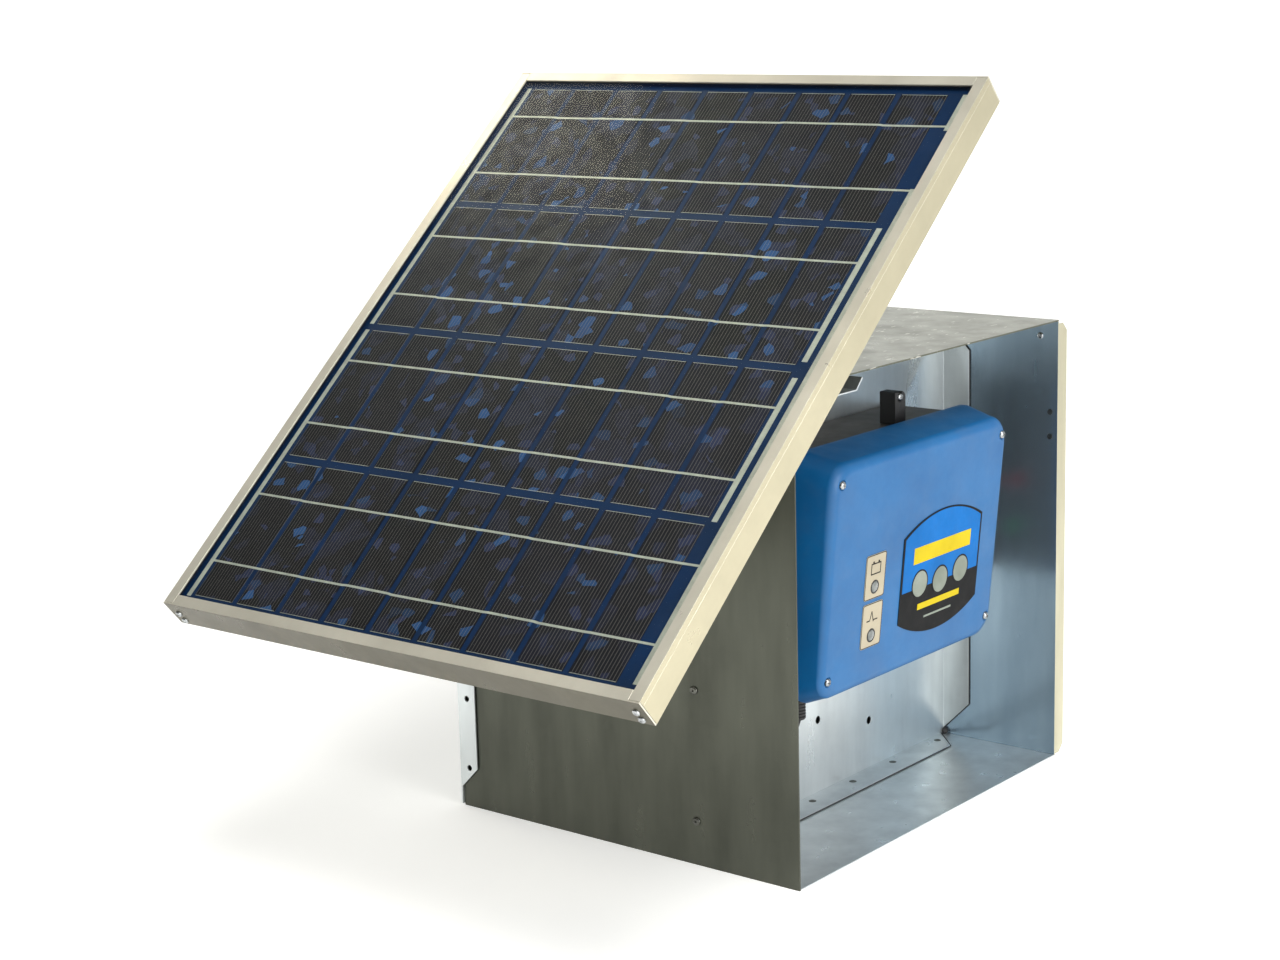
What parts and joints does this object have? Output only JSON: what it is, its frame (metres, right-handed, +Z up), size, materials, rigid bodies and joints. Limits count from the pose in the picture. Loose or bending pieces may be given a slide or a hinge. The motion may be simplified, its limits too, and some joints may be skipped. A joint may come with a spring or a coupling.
{
  "type": "solar fence energizer",
  "caption": "Galvanised steel box with a pulse fence energizer inside, a battery bay behind a partition and a framed solar panel on a clamped tilt hinge at the top edge.",
  "frame": {"origin": "centre of the underside of the box, on the ground", "axes": "+Z up, the box opens to -Y, the panel faces -X and up, +X towards the box's right wall"},
  "size_m": [0.7745, 0.54, 0.7019],
  "materials": {
    "galvanised_steel": "hot-dip galvanised sheet, satin with a faint spangle and smears",
    "zinc_fastener": "bright zinc plating",
    "aluminium_frame": "satin anodised extrusion with fine lines along its length",
    "panel_glass": "clear solar glass",
    "solar_cells": "dark blue polycrystalline cells on a deep blue backsheet with silver ribbons",
    "blue_plastic": "fine-grained satin moulding",
    "black_plastic": "satin black moulding",
    "beige_film": "printed film",
    "label_film": "printed film in two flat colours with a dark border",
    "lens": "grey translucent lens",
    "circuit_board": "solder-masked laminate",
    "ferrite": "varnished laminations",
    "copper": "enamelled wire under tape",
    "capacitor_sleeve": "shrink sleeve",
    "red_plastic": "moulded red plastic",
    "green_plastic": "moulded green plastic",
    "black_cable": "flexible cable sheath",
    "rubber": "soft black rubber",
    "battery_plastic": "ribbed polypropylene",
    "lead_metal": "dull cast lead alloy"
  },
  "bodies": {
    "box": {"left_wall": "galvanised_steel", "right_wall": "galvanised_steel", "top_sheet": "galvanised_steel", "floor_sheet": "galvanised_steel", "partition": "galvanised_steel", "top_stiffener": "galvanised_steel", "base_bracket_front": "galvanised_steel", "base_bracket_rear": "galvanised_steel", "wall_rivet_1": "zinc_fastener", "wall_rivet_2": "zinc_fastener", "wall_rivet_3": "zinc_fastener", "wall_rivet_4": "zinc_fastener", "pivot_bolt_front": "zinc_fastener", "pivot_bolt_rear": "zinc_fastener", "cover_screw_top_left": "zinc_fastener", "cover_screw_top_right": "zinc_fastener", "cover_screw_bottom_right": "zinc_fastener", "cover_screw_bottom_left": "zinc_fastener", "lug_screw": "zinc_fastener", "fence_terminal": "zinc_fastener", "earth_terminal": "zinc_fastener", "front_cover": "blue_plastic", "rear_housing": "black_plastic", "mounting_lug": "black_plastic", "lead_gland": "black_plastic", "battery_sticker": "beige_film", "pulse_sticker": "beige_film", "front_label": "label_film", "battery_lens": "lens", "pulse_lens": "lens", "circuit_board": "circuit_board", "transformer_core": "ferrite", "transformer_winding": "copper", "storage_capacitor": "capacitor_sleeve", "lead_positive": "red_plastic", "lead_negative": "black_cable", "lead_grommet": "rubber", "battery_case": "battery_plastic", "battery_lid": "battery_plastic", "clamp_positive": "lead_metal", "clamp_negative": "lead_metal"},
    "panel": {"panel_bracket_front": "galvanised_steel", "panel_bracket_rear": "galvanised_steel", "frame_side_front": "aluminium_frame", "frame_side_rear": "aluminium_frame", "frame_end_low": "aluminium_frame", "frame_end_high": "aluminium_frame", "cross_rail": "aluminium_frame", "panel_glass": "panel_glass", "cell_sheet": "solar_cells", "frame_screw_1": "zinc_fastener", "frame_screw_2": "zinc_fastener", "junction_box": "black_plastic", "junction_lid": "black_plastic", "junction_gland": "black_plastic"},
    "rear_cover": {"rear_cover": "galvanised_steel"},
    "wing_nut_front": {"wing_nut_front": "zinc_fastener"},
    "wing_nut_rear": {"wing_nut_rear": "zinc_fastener"},
    "fence_knob": {"fence_knob": "red_plastic"},
    "earth_knob": {"earth_knob": "green_plastic"}
  },
  "joints": [
    {"name": "panel_tilt", "type": "hinge", "parent": "box", "child": "panel", "pos_m": [-0.212, 0, 0.466], "axis": [0, -1, 0], "range_deg": [-36, 44]},
    {"name": "rear_cover_slide", "type": "slide", "parent": "box", "child": "rear_cover", "axis": [0, 1, 0], "range_m": [0, 0.12]},
    {"name": "wing_nut_front_turn", "type": "hinge", "parent": "box", "child": "wing_nut_front", "pos_m": [-0.212, 0, 0.466], "axis": [0, 1, 0], "continuous": true},
    {"name": "wing_nut_rear_turn", "type": "hinge", "parent": "box", "child": "wing_nut_rear", "pos_m": [-0.212, 0, 0.466], "axis": [0, 1, 0], "continuous": true},
    {"name": "fence_knob_turn", "type": "hinge", "parent": "box", "child": "fence_knob", "pos_m": [0.145, -0.1065, 0.265], "axis": [1, 0, 0], "continuous": true},
    {"name": "earth_knob_turn", "type": "hinge", "parent": "box", "child": "earth_knob", "pos_m": [0.145, -0.1065, 0.215], "axis": [1, 0, 0], "continuous": true}
  ]
}
